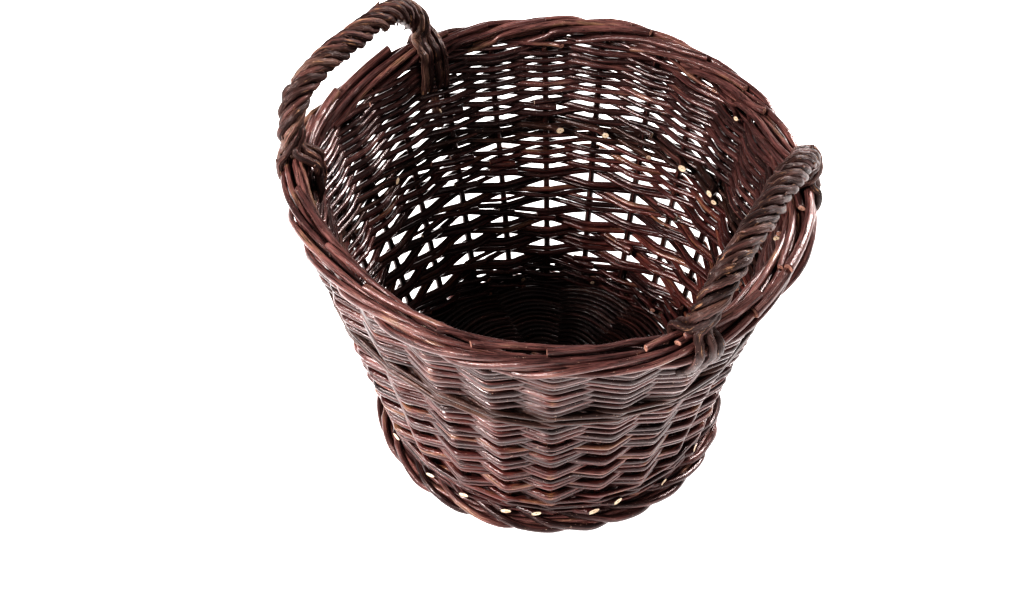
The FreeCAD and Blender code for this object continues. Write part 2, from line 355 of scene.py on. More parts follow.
def piece(name, bundle, materials, slot, *nodes):
    """A visible piece from a bundle of rods, standing for its CAD nodes."""
    made = bpy.data.objects.new(name, bundle.mesh(name))
    bpy.context.scene.collection.objects.link(made)
    for material in materials:
        made.data.materials.append(material)
    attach(made, "root")
    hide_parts(*nodes)


# Wall weaving

# In bays: the points of a path between two stakes, how far from a stake a rod bends and is
# tinted by the bend, and how far from its ends a siding rod eases over its own start.
BAY_STEPS = (0.0, 0.06, 0.13, 0.24, 0.37, 0.5, 0.63, 0.76, 0.87, 0.94)
LEAST_STEP = 0.03
BEND = 0.13
BEND_SCUFF = 0.07
END_EASE = 1.5
# In bays: how far a waling rod starts before its first stake and ends past its last, how long it
# is, and how long its thick butt and the tucked part of it are.
WALE_BEFORE = 0.3
WALE_PAST = 0.2
WALE_LENGTH = 12
THICK_BUTT = 1.6
TUCKED_BUTT = 0.32
# How far a waling rod swings in and out, as a share of a stake and rod together, and how far it
# goes up and down, as a share of the round's height.
WALE_SWING = 1.12
WALE_RISE = 0.27


def bay_positions(start, end):
    """Positions from start to end, closer together at the stakes, where a rod bends."""
    bays = np.arange(math.floor(start), math.ceil(end))
    inside = (bays[:, None] + np.array(BAY_STEPS)).ravel()
    inside = inside[(inside > start + LEAST_STEP) & (inside < end - LEAST_STEP)]
    return np.concatenate([[start], inside, [end]])


def kinked(position):
    """In and out round the stakes: 1 at even stakes, -1 at odd ones, and straight between."""
    nearest = np.round(position)
    away = np.abs(position - nearest)
    bent = 1 - BEND - away ** 2 / BEND
    straight = 1 - 2 * away
    side = 1 - 2 * (nearest % 2)
    return side * np.where(away < BEND, bent, straight) / (1 - BEND)


def wall_path(position, height, offset):
    """Points on the wall, with straight runs from stake to stake."""
    from_middle = (position % 1 - 0.5) * BAY_ANGLE
    chord = math.cos(BAY_ANGLE / 2) / np.cos(from_middle)
    return polar((wall_radius(height) + offset) * chord, position * BAY_ANGLE, height)


def uneven(position, size):
    """A small seeded rise and fall from stake to stake."""
    numbers = np.arange(math.floor(position[0]), math.ceil(position[-1]) + 1)
    return np.interp(position, numbers, rng.normal(0, size, len(numbers)))


def plain_rod(bundle, height, parity, rod):
    """One rod once round the wall, outside the stakes of one parity and inside the others."""
    start = 2 * int(rng.integers(BAYS // 2)) + 1 - parity
    butt = start - rng.uniform(0.18, 0.34)
    tip = start + BAYS + rng.uniform(0.15, 0.3)
    position = bay_positions(butt, tip)
    share = (position - butt) / (tip - butt)
    radius = rod * (1.14 - 0.3 * share) * rng.uniform(0.93, 1.07)
    side = kinked(position + parity)
    side = np.where((position < start) | (position > start + BAYS), -1.1, side)
    offset = side * (STAKE_ROD + radius)
    tip_rise = smooth((position - start - BAYS + END_EASE) / END_EASE)
    butt_drop = smooth((start + END_EASE - position) / END_EASE)
    level = height + uneven(position, 0.45 * MM) + 0.8 * rod * (tip_rise - butt_drop)
    bend = np.exp(-((position - np.round(position)) / BEND_SCUFF) ** 2) * (side > 0)
    tint = rng.uniform() + bend * uneven(position, 0.3)
    bundle.add_rod(wall_path(position, level, offset), radius, 8, tint=tint)


def wale_cycle(phase, values):
    """A value that repeats every three stakes, eased at each."""
    eased = np.zeros_like(phase)
    for shift, weight in ((-0.16, 0.25), (0.0, 0.5), (0.16, 0.25)):
        eased += weight * np.interp((phase + shift) % 3, (0, 1, 2, 3), values)
    return eased


def wale_rod(bundle, strand, first, length, height, pitch, rod, sides, butt_out, butt_growth):
    """One waling rod: outside two stakes and inside the next, from a butt inside the wall."""
    start = first - WALE_BEFORE
    end = first + length + WALE_PAST
    position = bay_positions(start, end)
    share = (position - start) / (end - start)
    radius = rod * (1.1 - 0.22 * share) * rng.uniform(0.94, 1.06)
    radius *= 1 + butt_growth * (1 - smooth((position - start) / THICK_BUTT))
    phase = (position - strand) % 3
    side = WALE_SWING * wale_cycle(phase, (1, 1, -1, 1))
    rise = pitch * WALE_RISE * wale_cycle(phase, (1, -1, 0, 1))
    level = height + rise + uneven(position, 0.4 * MM)
    offset = side * (STAKE_ROD + radius)
    inwards = np.clip((start + TUCKED_BUTT - position) / TUCKED_BUTT, 0, 1) ** 2
    offset = offset * (1 - inwards) - (STAKE_ROD + radius + butt_out) * inwards
    level = level + 0.35 * butt_out * inwards
    tint = rng.uniform(0, 0.35 if butt_growth else 1)
    path = wall_path(position, level, offset)
    bundle.add_rod(path, radius, sides, slants=(0.5, 0), slant_turn=math.pi, tint=tint)


def wale_round(bundle, height, pitch, rod, starts, sides, butt_out, butt_growth):
    """Three rods waled together once round the wall, renewed at the bays listed for each."""
    for strand, firsts in enumerate(starts):
        for first, last in zip(firsts, (*firsts[1:], firsts[0] + BAYS)):
            wale_rod(
                bundle, strand, first, last - first, height, pitch, rod, sides, butt_out, butt_growth
            )


def random_starts(length):
    """Where each of three waling rods is renewed, every so many bays from a random one."""
    firsts = [strand + 2 + 3 * int(rng.integers(BAYS // 3)) for strand in range(3)]
    return [tuple(range(first, first + BAYS, length)) for first in firsts]


def rows(low, high, count, crowding=0.0):
    """Heights of rows that fill a band, closer together near its top when crowded."""
    share = (np.arange(count) + 0.5) / count
    return low + (high - low) * share * (1 + crowding * (1 - share))


def lower_siding():
    bundle = Bundle()
    low, high = bottom("lower_siding"), top("lower_siding")
    for number, height in enumerate(rows(low, SLEWED_TOP, SLEWED_ROWS)):
        for side in (-1, 1):
            plain_rod(bundle, height + side * SLEWED_ROD, number % 2, SLEWED_ROD)
        if number % 4 == 2:
            plain_rod(bundle, height + 2.6 * SLEWED_ROD, number % 2, THIRD_ROD)
    for number, height in enumerate(rows(SLEWED_TOP, high, PLAIN_ROWS)):
        plain_rod(bundle, height, (SLEWED_ROWS + number) % 2, PLAIN_ROD)
    return bundle


def upper_siding():
    bundle = Bundle()
    low, high = bottom("upper_siding"), top("upper_siding")
    for number, height in enumerate(rows(low, high, UPPER_ROWS, 0.35)):
        plain_rod(bundle, height, number % 2, PLAIN_ROD)
    return bundle


def wale(node, rounds, rod):
    """A band of waled rounds that fills the node's height."""
    bundle = Bundle()
    low, high = bottom(node), top(node)
    pitch = (high - low) / rounds
    for height in rows(low, high, rounds):
        wale_round(bundle, height, pitch, rod, random_starts(WALE_LENGTH), 8, 4 * MM, 0.0)
    return bundle


def mid_wale():
    """Two waled rounds. The rods of the upper one have thick butts that show inside the wall."""
    bundle = Bundle()
    low, high = bottom("mid_wale"), top("mid_wale")
    rounds = 2
    lower, upper = rows(low, high, rounds)
    pitch = (high - low) / rounds
    wale_round(bundle, lower, pitch, MID_WALE_ROD, random_starts(WALE_LENGTH), 10, 2 * MM, 0.0)
    wale_round(bundle, upper, pitch, MID_WALE_ROD, SHOWN_BUTTS, 10, 9 * MM, 0.35)
    return bundle


# Places along a butt: bays, mm out and mm up.
UPSET_BUTT_LINE = (
    (-0.5, -1.0, 0.0), (-0.25, 1.5, 0.5), (0.0, 6.0, 1.0), (0.2, 9.5, 2.0), (0.34, 11.5, 2.5),
)


def upset_butts(bundle):
    """Thick butts that poke out between the upset rods, cut on a long slant."""
    bays, out, up = np.array(UPSET_BUTT_LINE).T
    for bay in range(BAYS):
        position = bay + rng.uniform(0, 0.8) + bays
        height = FOOT_TOP + rng.uniform(0, 14) * MM + up * MM
        path = spline(wall_path(position, height, out * MM), 3 * MM)
        bundle.add_rod(path, rng.uniform(2.6, 3.6) * MM, 10, slants=(0, -1.6), tint=rng.uniform(0, 0.4))


def upset_wale():
    bundle = wale("upset_wale", UPSET_ROUNDS, UPSET_ROD)
    upset_butts(bundle)
    return bundle


# Stakes, foot, base and border

# A stake's way out under the wall: share of the corner's radius, share of the turn to its spoke, mm up.
STAKE_CORNER = ((0.64, 0.75, 0.0), (0.8, 0.4, 0.0), (0.93, 0.1, 0.3), (0.99, 0.0, 4.0))


def stake(number):
    """A stake: from between the base rods, round the foot's corner, up the wall to the border."""
    bundle = Bundle()
    angle = number * BAY_ANGLE
    spoke = (round((number - 0.5) / 2) + 0.25) * SPOKE_ANGLE
    heights = np.linspace(FOOT_TOP + 12 * MM, top("border") - 9 * MM, 34)
    wall = polar(wall_radius(heights), angle, heights)
    corner_radius = wall_radius(FOOT_TOP)
    inner = [
        polar(corner_radius * share, angle + (spoke - angle) * blend, BASE_HEIGHT + rise * MM)
        for share, blend, rise in STAKE_CORNER
    ]
    path = np.vstack([spline(np.vstack([inner, wall[:1]]), 5 * MM)[:-1], wall])
    bundle.add_rod(path, STAKE_ROD * np.linspace(1.06, 0.92, len(path)), 10)
    return bundle


# Places along a foot rod: bays, mm from the foot's edge and height in mm.
FOOT_LINE = (
    (0.0, -15.5, 16.5), (0.4, -8.0, 14.2), (0.9, -1.0, 12.2), (1.4, 2.2, 8.6),
    (1.9, 1.8, 4.6), (2.4, -4.0, 3.9), (2.9, -11.5, 4.2), (3.3, -16.5, 5.5),
)
# The rings inside the foot: mm from its edge and height in mm.
FOOT_CORE = ((0.0, 5.5), (-4.0, 8.5), (-8.0, 11.0), (-8.5, 6.0), (-12.5, 7.0), (-14.5, 12.5))


def foot_border():
    """Rods that loop out under each stake, round a core of plain rings."""
    bundle = Bundle()
    for bay in range(BAYS):
        jitter = rng.normal(0, 0.5, (len(FOOT_LINE), 3)) * (0.08, 1, 0.4)
        line = np.array(FOOT_LINE) + jitter
        line[:, 2] = np.maximum(line[:, 2], FOOT_ROD / MM + 0.9)
        path = polar(FOOT_RADIUS + line[:, 1] * MM, (bay + line[:, 0]) * BAY_ANGLE, line[:, 2] * MM)
        bundle.add_rod(spline(path, 3.5 * MM), FOOT_ROD * rng.uniform(0.93, 1.05), 10)
    for out, height in FOOT_CORE:
        position = np.linspace(0, BAYS + 0.3, 8 * BAYS) + rng.uniform(0, BAYS)
        ring = FOOT_RADIUS + out * MM + uneven(position, 0.5 * MM)
        level = height * MM + uneven(position, 0.5 * MM)
        bundle.add_rod(polar(ring, position * BAY_ANGLE, level), FOOT_CORE_ROD, 8)
    return bundle


def base_weave():
    """Pairs of thin rods twisted round every spoke, from the cross out to the foot."""
    bundle = Bundle()
    pitch = 6.4 * MM
    first = 24 * MM
    count = round((BASE_RADIUS + 4 * MM - first) / pitch)
    lift = BASE_STICK_RADIUS + 0.55 * BASE_ROD
    for number in range(count):
        radius = first + pitch * (number + 0.5)
        start = rng.uniform(0, SPOKES)
        position = np.linspace(start, start + SPOKES + 0.3, SPOKES * 7)
        for strand in (-1, 1):
            turn = math.pi * (position - 0.25)
            height = BASE_HEIGHT + strand * lift * np.cos(turn)
            ring = radius + strand * 1.8 * MM * np.sin(turn) + uneven(position, 0.7 * MM)
            path = polar(ring, position * SPOKE_ANGLE, height)
            bundle.add_rod(path, BASE_ROD * rng.uniform(0.85, 1.15), 7)
    return bundle


# Places along the border's rods: bays clockwise, mm out from its inner edge, mm up.
UPPER_LINE = (
    (-0.4, 7.5, -4.0), (0.0, 4.8, 2.5), (0.35, 4.3, 8.0), (0.9, 5.6, 11.8),
    (1.5, 9.4, 14.4), (2.1, 15.2, 14.8),
)
UNDER_LINE = (
    (-0.4, 11.5, -3.0), (0.3, 11.0, 3.5), (0.9, 14.0, 8.0), (1.6, 18.8, 11.0),
    (2.3, 24.0, 10.5), (2.9, 26.0, 4.5), (3.4, 23.5, -2.5), (3.8, 17.0, -7.0),
)
CORE_LINE = (
    (-0.3, 12.5, -5.0), (0.4, 12.5, 1.0), (1.2, 14.0, 4.5), (2.0, 15.8, 5.5),
    (2.7, 15.5, 3.0), (3.2, 14.0, -1.5),
)
OUTER_CORE_LINE = (
    (-0.3, 16.0, -3.0), (0.5, 18.5, 3.0), (1.2, 20.0, 6.0), (2.0, 20.2, 5.0),
    (2.7, 18.5, 0.0), (3.1, 16.0, -4.0),
)
# Each family's line, rod radius, and how many bays its blunt ends may be off.
BORDER_FAMILIES = (
    (CORE_LINE, BORDER_CORE_ROD, 0.0),
    (OUTER_CORE_LINE, BORDER_CORE_ROD, 0.0),
    (UNDER_LINE, UNDER_BORDER_ROD, 0.0),
    (UPPER_LINE, BORDER_ROD, 0.35),
)
# Thick rods near the handles over +X (1) and -X (-1): from and to, in bays clockwise of the
# handle's front foot, then mm out at each end, mm up at each end, and radius in mm.
THICK_RODS = {
    -1: ((0.25, 1.65, 7.0, 15.0, 12.0, 20.0, 4.2), (0.5, 2.85, 9.0, 20.5, 10.0, 20.0, 4.3)),
    1: (
        (-0.75, 0.5, 19.0, 13.0, 20.0, 17.5, 4.6), (-2.1, -0.55, 21.0, 25.0, 15.0, 13.0, 4.4),
        (-3.1, -1.35, 20.0, 23.5, 15.0, 18.5, 4.3),
    ),
}


def border_place(bays_clockwise, out, up):
    """A place in the border: bays clockwise from +X, mm out from its inner edge, mm up."""
    radius = RIM_RADIUS - BORDER_WIDTH + out * MM
    return polar(radius, -bays_clockwise * BAY_ANGLE, bottom("border") + up * MM)


def border():
    """The rolled border: rods of each family from every bay, and the thick ones."""
    bundle = Bundle()
    for line, rod, trim in BORDER_FAMILIES:
        for bay in range(BAYS):
            places = np.array(line) + rng.normal(0, 0.6, (len(line), 3)) * (0.12, 1, 0.8)
            places[:, 1] += np.linspace(0, rng.normal(0, 1.2), len(line))
            places[-1, 0] += rng.uniform(-trim, trim)
            path = spline(border_place(bay + places[:, 0], places[:, 1], places[:, 2]), 4 * MM)
            radius = rod * rng.uniform(0.88, 1.12) * np.linspace(0.94, 1.06, len(path))
            slant = rng.uniform(-0.5, 0.5)
            bundle.add_rod(path, radius, 10, slants=(0, slant), tint=rng.uniform(0.4, 1))
    for side, rods in THICK_RODS.items():
        for first, last, out, last_out, up, last_up, radius in rods:
            bays = front_foot(side) + np.linspace(first, last, 6)
            ease = np.linspace(0, 1, 6)
            path = border_place(bays, out + (last_out - out) * ease, up + (last_up - up) * ease)
            path = spline(path, 4 * MM)
            radius = radius * MM * np.linspace(0.85, 1.05, len(path))
            bundle.add_rod(path, radius, 12, slants=(0, 0.3), tint=rng.uniform(0.62, 0.8))
    return bundle


# Handles

def bow_line(side):
    """The bow's centre line over +X or -X, from one buried end to the other."""
    low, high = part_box("right_handle_bow")
    rim_height = bottom("right_handle_rope") - 5 * MM
    half_span = high.y - BOW_RADIUS
    rise = high.z - BOW_RADIUS - rim_height - HANDLE_SAG
    rim_x = math.sqrt(wall_radius(rim_height) ** 2 - half_span ** 2)
    half_turn = np.linspace(0, math.pi, 90)
    across = np.cos(half_turn)
    up = np.sin(half_turn)
    squareness = 2.7
    size = (np.abs(across) ** squareness + np.abs(up) ** squareness) ** (1 / squareness)
    y = half_span * across / size
    z = rim_height + rise * up / size
    x = rim_x + HANDLE_LEANS[side] * (z - rim_height)
    arch = np.stack([x, y, z], axis=1)
    heights = np.linspace(low.z + BOW_RADIUS, rim_height, 12)[:-1]
    foot_turn = math.atan2(half_span, rim_x)
    leg = polar(wall_radius(heights), foot_turn, heights)
    other_leg = polar(wall_radius(heights), -foot_turn, heights)[::-1]
    line = np.vstack([leg, arch, other_leg]) * (side, side, 1)
    x, y, z = line.T
    turn = HANDLE_TURNS[side] * smooth((z - 0.7 * rim_height) / (0.3 * rim_height))
    return polar(np.hypot(x, y), np.arctan2(y, x) + turn, z)


def front_foot(side):
    """How many bays clockwise of +X the handle's front foot stands."""
    x, y, _ = min(bow_line(side)[[0, -1]], key=lambda end: end[1])
    return -math.atan2(y, x) / BAY_ANGLE


def even_steps(line, step):
    """The same line, as points an even step apart, with the distance along it."""
    along = np.concatenate([[0], np.cumsum(np.linalg.norm(np.diff(line, axis=0), axis=1))])
    count = round(along[-1] / step)
    places = np.linspace(0, along[-1], count + 1)
    points = np.stack([np.interp(places, along, line[:, axis]) for axis in range(3)], axis=1)
    return points, places


def handle_bow(side):
    bundle = Bundle()
    line, _ = even_steps(bow_line(side), 4 * MM)
    bundle.add_rod(line, BOW_RADIUS, 10)
    return bundle


# A rope end's way down the wall: mm up from the border's top, and mm further from the wall.
INSIDE_LEG = ((-4.0, 0.0), (-14.0, 0.0), (-30.0, 4.0), (-46.0, -4.0))
OUTSIDE_LEG = ((-4.0, 0.0), (-16.0, 0.0), (-34.0, 4.0), (-52.0, -4.0))


def leg_points(foot_angle, sideways, inside):
    """Where a rope end lies from the border down to where it is tucked into the wall."""
    points = []
    for number, (drop, out) in enumerate(INSIDE_LEG if inside else OUTSIDE_LEG):
        height = top("border") + drop * MM
        clear_of_wall = STAKE_ROD + 2 * PLAIN_ROD + out * MM
        beside_border = number < 2
        if inside:
            radius = wall_radius(height) - clear_of_wall
            clear_of_border = min(radius, RIM_RADIUS - BORDER_WIDTH - STRAND_ROD)
        else:
            radius = wall_radius(height) + clear_of_wall
            clear_of_border = max(radius, RIM_RADIUS + STRAND_ROD)
        radius = clear_of_border if beside_border else radius
        spread = sideways * (1 + 0.05 * number)
        points.append(polar(radius, foot_angle + spread / wall_radius(height), height))
    return np.array(points)


BURR_STEP = 7
BURR_RADII = np.array([1.5, 1.2, 0.8, 0.5]) * MM


def burrs(bundle, path, radius):
    """Short broken shoots that stand off a rod, one every few points of its path."""
    for place in range(int(rng.integers(4, 9)), len(path) - 2, BURR_STEP):
        along = path[place + 1] - path[place]
        along = along / np.linalg.norm(along)
        away = np.cross(along, rng.normal(0, 1, 3))
        away = away / np.linalg.norm(away)
        length = rng.uniform(1.5, 5.0) * MM
        tip = path[place] + away * (radius + 0.6 * length) + along * length
        line = np.linspace(path[place] + away * radius * 0.6, tip, len(BURR_RADII))
        bundle.add_rod(line, BURR_RADII, 6)


def rope_leg(foot, out):
    """The end of a rope rod at one foot, on the side of the border where it leaves the bow."""
    angle = math.atan2(foot[1], foot[0])
    outwards = np.array([math.cos(angle), math.sin(angle), 0])
    beside = np.array([-math.sin(angle), math.cos(angle), 0])
    inside = out.dot(outwards) < 0.1
    sideways = out.dot(beside) * 11 * MM
    return leg_points(angle, sideways, inside)


def rope_strands(side):
    """Rods twisted round the bow, whose ends come down both sides of the border."""
    bundle = Bundle()
    line, along = even_steps(bow_line(side), 3 * MM)
    above = line[:, 2] > top("border") + 4 * MM
    line, along = line[above], along[above]
    tangents, normals, binormals = rod_frames(line)
    for strand in range(ROPE_STRANDS):
        wander = 0.12 * np.sin(along / (40 * MM) + rng.uniform(0, 6))
        turn = 2 * math.pi * (strand / ROPE_STRANDS + along / ROPE_PITCH) + wander
        out = np.cos(turn)[:, None] * normals + np.sin(turn)[:, None] * binormals
        swell = 1 + 0.09 * np.sin(along / (15 * MM) + rng.uniform(0, 6))
        reach_out = (BOW_RADIUS + STRAND_ROD) * rng.uniform(0.88, 1.1) * swell
        helix = line + out * reach_out[:, None]
        first_leg = rope_leg(line[0], out[0])
        last_leg = rope_leg(line[-1], out[-1])
        path = np.vstack([first_leg[::-1], helix[::5], last_leg])
        radius = STRAND_ROD * rng.uniform(0.85, 1.18)
        path = spline(path, 3 * MM)
        path[1:-1] += rng.normal(0, 0.25 * MM, (len(path) - 2, 3))
        bundle.add_rod(path, radius, 10, knots=24 * MM)
        burrs(bundle, path, radius)
    return bundle


# Materials

class Shader:
    """A material under construction."""

    def __init__(self, name):
        self.material = bpy.data.materials.new(name)
        self.material.use_nodes = True
        self.tree = self.material.node_tree
        self.surface = self.tree.nodes["Principled BSDF"]

    def add(self, kind, inputs=(), **settings):
        node = self.tree.nodes.new(kind)
        for name, value in settings.items():
            setattr(node, name, value)
        for name, value in dict(inputs).items():
            self.put(node.inputs[name], value)
        return node

    def put(self, socket, value):
        if isinstance(value, bpy.types.NodeSocket):
            self.tree.links.new(value, socket)
        else:
            socket.default_value = value

    def math(self, operation, *values):
        return self.add("ShaderNodeMath", enumerate(values), operation=operation).outputs[0]

    def noise(self, vector, scales, detail, roughness=0.55):
        stretched = self.add("ShaderNodeVectorMath", {0: vector, 1: scales}, operation="MULTIPLY")
        inputs = {"Vector": stretched.outputs[0], "Scale": 1.0, "Detail": detail, "Roughness": roughness}
        return self.add("ShaderNodeTexNoise", inputs).outputs["Fac"]

    def between(self, value, low, high):
        """0 below low, 1 above high, and smooth between."""
        inputs = {"Value": value, "From Min": low, "From Max": high}
        return self.add("ShaderNodeMapRange", inputs, interpolation_type="SMOOTHSTEP").outputs[0]

    def mix(self, share, first, second):
        node = self.add("ShaderNodeMix", data_type="RGBA")
        self.put(node.inputs[0], share)
        self.put(node.inputs[6], first)
        self.put(node.inputs[7], second)
        return node.outputs[2]

    def ramp(self, value, stops):
        node = self.add("ShaderNodeValToRGB", {"Fac": value})
        elements = node.color_ramp.elements
        while len(elements) < len(stops):
            elements.new(1.0)
        for element, (place, colour) in zip(elements, stops):
            element.position = place
            element.color = (*colour, 1.0)
        return node.outputs["Color"]


def bark_colour(shader, grain, stops, ridges, fibres, flecks):
    """Bark before it is scuffed: dark between its fibres, paler on its ridges, partly as painted highlight
    lines, and on its flecks, partly as painted glints.
    """
    tint = shader.add("ShaderNodeAttribute", attribute_name="tint").outputs["Fac"]
    patches = shader.noise(grain, (150, 150, 24), detail=3.0)
    from_tint = shader.math("MULTIPLY", tint, 0.6)
    from_patches = shader.math("MULTIPLY", patches, 1.1)
    blend = shader.math("ADD", from_tint, from_patches)
    colour = shader.ramp(shader.math("SUBTRACT", blend, 0.33), stops)
    dark = shader.mix(0.85, colour, (0.002, 0.001, 0.001, 1))
    colour = shader.mix(shader.between(fibres, 0.38, 0.58), dark, colour)
    # Paler pinkish colour on the ridges: partly the bark's dry ridges, partly painted highlight lines.
    ridge_and_painted_highlight_share = shader.math("MULTIPLY", shader.between(ridges, 0.56, 0.66), 0.4)
    pale = shader.mix(0.4, colour, (0.40, 0.17, 0.15, 1))
    colour = shader.mix(ridge_and_painted_highlight_share, colour, pale)
    # Cream flecks: partly lenticels, partly painted glints.
    fleck_and_painted_glint_share = shader.math("MULTIPLY", shader.between(flecks, 0.69, 0.73), 0.7)
    return shader.mix(fleck_and_painted_glint_share, colour, (0.50, 0.36, 0.28, 1))


def bark_relief(shader, depth, ridges, fibres, flecks):
    """The bark's bump, which its sheen follows too."""
    relief = shader.math("ADD", ridges, shader.math("MULTIPLY", fibres, 0.4))
    relief = shader.math("ADD", relief, shader.math("MULTIPLY", flecks, 0.25))
    bump = shader.add("ShaderNodeBump", {"Height": relief, "Strength": 0.9, "Distance": depth})
    shader.put(shader.surface.inputs["Normal"], bump.outputs[0])
    shader.put(shader.surface.inputs["Coat Normal"], bump.outputs[0])


def bark(name, stops, scuff_colour, scuffs, roughness, coat=0.8, relief_depth=0.6 * MM):
    """Willow bark: ridges along the rod, slow changes of colour, flecks, and scuffs to the wood. The paler
    ridges and flecks are partly painted highlight lines and glints.
    """
    shader = Shader(name)
    grain = shader.add("ShaderNodeAttribute", attribute_name="grain").outputs["Vector"]
    ridges = shader.noise(grain, (430, 430, 12), detail=2.0, roughness=0.5)
    fibres = shader.noise(grain, (1900, 1900, 60), detail=3.0, roughness=0.65)
    flecks = shader.noise(grain, (1000, 1000, 420), detail=2.0)
    rubbed = shader.noise(grain, (360, 360, 50), detail=5.0, roughness=0.7)
    colour = bark_colour(shader, grain, stops, ridges, fibres, flecks)
    scuff_share = shader.math("MULTIPLY", shader.between(rubbed, 0.72 - scuffs, 0.80 - scuffs), 0.85)
    colour = shader.mix(scuff_share, colour, (*scuff_colour, 1))
    shader.put(shader.surface.inputs["Base Color"], colour)
    rough = shader.math("ADD", shader.math("MULTIPLY", fibres, 0.3), roughness - 0.2)
    rough = shader.math("ADD", rough, shader.math("MULTIPLY", scuff_share, 0.3))
    shader.put(shader.surface.inputs["Roughness"], rough)
    shader.put(shader.surface.inputs["Specular IOR Level"], 0.3)
    shader.put(shader.surface.inputs["Specular Tint"], (1.0, 0.74, 0.70, 1))
    shader.put(shader.surface.inputs["Coat Weight"], coat)
    shader.put(shader.surface.inputs["Coat IOR"], 1.42)
    shader.put(shader.surface.inputs["Coat Tint"], (1.0, 0.86, 0.84, 1))
    shader.put(shader.surface.inputs["Coat Roughness"], 0.09)
    bark_relief(shader, relief_depth, ridges, fibres, flecks)
    return shader.material


def cut_wood():
    """Pale end grain with faint rings and a brown pith."""
    shader = Shader("cut_willow")
    grain = shader.add("ShaderNodeAttribute", attribute_name="grain").outputs["Vector"]
    tint = shader.add("ShaderNodeAttribute", attribute_name="tint").outputs["Fac"]
    flat = shader.add("ShaderNodeVectorMath", {0: grain, 1: (1, 1, 0)}, operation="MULTIPLY")
    distance = shader.add("ShaderNodeVectorMath", {0: flat.outputs[0]}, operation="LENGTH").outputs["Value"]
    rings = shader.math("SINE", shader.math("MULTIPLY", distance, 6500.0))
    stain = shader.noise(grain, (400, 400, 400), detail=4.0)
    stained = shader.between(stain, 0.4, 0.7)
    fresh = shader.mix(stained, (0.76, 0.62, 0.46, 1), (0.48, 0.33, 0.21, 1))
    stained = shader.between(stain, 0.35, 0.65)
    weathered = shader.mix(stained, (0.46, 0.24, 0.18, 1), (0.22, 0.10, 0.075, 1))
    colour = shader.mix(shader.between(tint, 0.34, 0.48), fresh, weathered)
    ring_share = shader.math("MULTIPLY", shader.between(rings, 0.2, 0.9), 0.25)
    colour = shader.mix(ring_share, colour, (0.25, 0.15, 0.08, 1))
    pith = shader.between(distance, 0.55 * MM, 0.35 * MM)
    colour = shader.mix(pith, colour, (0.10, 0.05, 0.03, 1))
    shader.put(shader.surface.inputs["Base Color"], colour)
    shader.put(shader.surface.inputs["Roughness"], 0.75)
    bump = shader.add("ShaderNodeBump", {"Height": stain, "Strength": 0.5, "Distance": 0.3 * MM})
    shader.put(shader.surface.inputs["Normal"], bump.outputs[0])
    return shader.material


# Bark colours as the stops of a ramp, from the darkest rods and patches to the palest.
REDDISH = (
    (0.0, (0.006, 0.0025, 0.0025)), (0.3, (0.022, 0.008, 0.008)), (0.6, (0.068, 0.020, 0.018)),
    (0.8, (0.125, 0.042, 0.034)), (0.92, (0.20, 0.105, 0.06)),
)
# For the stakes and the base; on the base this darkness is partly painted shade at the bottom of the deep
# basket.
DARK = (
    (0.0, (0.003, 0.0015, 0.0015)), (0.4, (0.013, 0.005, 0.005)),
    (0.7, (0.034, 0.012, 0.010)), (0.95, (0.07, 0.03, 0.02)),
)
# Willow bark for the upper siding and top wale, made paler and less red than the reddish bark as painted
# light for the inside of the wall.
DULL_WITH_PAINTED_LIGHT = (
    (0.0, (0.010, 0.005, 0.005)), (0.3, (0.033, 0.015, 0.014)), (0.6, (0.077, 0.034, 0.032)),
    (0.8, (0.135, 0.064, 0.055)), (0.92, (0.22, 0.13, 0.085)),
)
OLIVE = (
    (0.0, (0.012, 0.006, 0.005)), (0.4, (0.042, 0.019, 0.014)),
    (0.7, (0.085, 0.042, 0.028)), (0.95, (0.16, 0.09, 0.055)),
)
BROWN = (
    (0.0, (0.009, 0.005, 0.005)), (0.35, (0.043, 0.022, 0.019)),
    (0.65, (0.112, 0.057, 0.046)), (0.95, (0.26, 0.16, 0.115)),
)
ROSY = (
    (0.0, (0.009, 0.005, 0.005)), (0.3, (0.035, 0.0165, 0.0155)), (0.6, (0.10, 0.044, 0.040)),
    (0.8, (0.175, 0.084, 0.072)), (0.92, (0.26, 0.155, 0.10)),
)

weaver_bark = bark("weaver_bark", REDDISH, (0.34, 0.17, 0.09), 0.045, 0.36)
# The upper siding and top wale: willow bark lifted paler and duller as painted light.
upper_bark_with_painted_light = bark("upper_bark_with_painted_light", DULL_WITH_PAINTED_LIGHT, (0.34, 0.19, 0.11), 0.05, 0.36)
stake_bark = bark("stake_bark", DARK, (0.2, 0.11, 0.07), 0.0, 0.42)
wale_bark = bark("wale_bark", OLIVE, (0.32, 0.19, 0.11), 0.05, 0.4, 0.3)
border_bark = bark("border_bark", ROSY, (0.40, 0.17, 0.10), 0.06, 0.36, 0.45)
handle_bark = bark("handle_bark", BROWN, (0.42, 0.24, 0.14), 0.13, 0.46, 0.15, 1.6 * MM)
# The base's very dark bark is partly painted shade at the bottom of the basket.
base_bark_with_painted_shade = bark("base_bark_with_painted_shade", DARK, (0.16, 0.09, 0.06), 0.0, 0.5)
cut_face = cut_wood()


# The pieces

